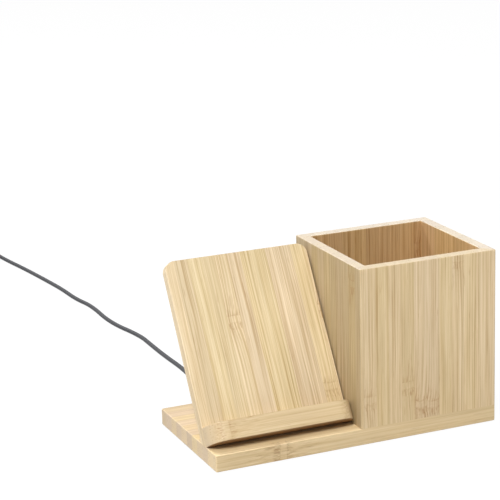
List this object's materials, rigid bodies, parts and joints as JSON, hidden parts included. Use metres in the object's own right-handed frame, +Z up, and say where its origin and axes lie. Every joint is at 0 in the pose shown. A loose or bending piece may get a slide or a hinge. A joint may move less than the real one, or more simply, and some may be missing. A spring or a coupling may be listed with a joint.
{
  "type": "desk pen cup with wireless charging stand",
  "caption": "Bamboo desk caddy: a phone panel with a hidden charging coil leans back over a lip beside a square pen cup, on one board with a detachable USB cable.",
  "frame": {"origin": "under the middle of the base board, on the surface that the feet stand on", "axes": "+X to the user's right along the base's long side, +Y to the back where the cable leaves, +Z up"},
  "size_m": [0.1958, 0.4989, 0.0964],
  "materials": {
    "base_wood": "laminated bamboo, matt lacquer",
    "board_plastic": "glass-fibre board with solder mask",
    "cable_rubber": "extruded soft PVC",
    "capacitor_plastic": "fired ceramic",
    "chip_plastic": "moulded epoxy",
    "coil_copper": "enamelled copper litz wire",
    "connector_plastic": "moulded nylon",
    "connector_steel": "nickel-plated steel",
    "cover_plastic": "moulded ABS, fine grain",
    "dowel_wood": "turned beech",
    "ferrite": "sintered ferrite",
    "floor_wood": "laminated bamboo, bare",
    "foot_rubber": "moulded silicone rubber",
    "lead_plastic": "insulated wire",
    "lip_wood": "laminated bamboo, matt lacquer",
    "panel_wood": "laminated bamboo, matt lacquer",
    "plug_plastic": "moulded PVC",
    "screw_steel": "zinc-plated steel",
    "tape_rubber": "double-sided foam tape",
    "wall_wood": "laminated bamboo, matt lacquer"
  },
  "bodies": {
    "stand": {"base_board": "base_wood", "rubber_feet": "foot_rubber", "base_cover_plate": "cover_plastic", "cover_screws": "screw_steel", "cup_front_wall": "wall_wood", "cup_right_wall": "wall_wood", "cup_back_wall": "wall_wood", "cup_left_wall": "wall_wood", "cup_floor": "floor_wood", "cup_screws": "screw_steel", "charger_panel": "panel_wood", "panel_back_cover": "panel_wood", "phone_lip": "lip_wood", "lip_dowels": "dowel_wood", "charging_coil": "coil_copper", "ferrite_disc": "ferrite", "coil_leads": "lead_plastic", "circuit_board": "board_plastic", "board_tape": "tape_rubber", "controller_chip": "chip_plastic", "driver_chips": "chip_plastic", "resonant_capacitors": "capacitor_plastic", "power_inductor": "ferrite", "usb_c_socket_shell": "connector_steel", "usb_c_socket_tongue": "connector_plastic"},
    "charge_cable": {"usb_c_plug_shell": "connector_steel", "usb_c_plug_body": "plug_plastic", "usb_c_strain_relief": "cable_rubber", "cable": "cable_rubber", "cable_coil": "cable_rubber", "usb_a_strain_relief": "cable_rubber", "usb_a_plug_body": "plug_plastic", "usb_a_plug_shell": "connector_steel", "usb_a_plug_tongue": "connector_plastic"}
  },
  "joints": [
    {"name": "plug_slide", "type": "slide", "parent": "stand", "child": "charge_cable", "axis": [0, 1, 0], "range_m": [0, 0.012]}
  ]
}
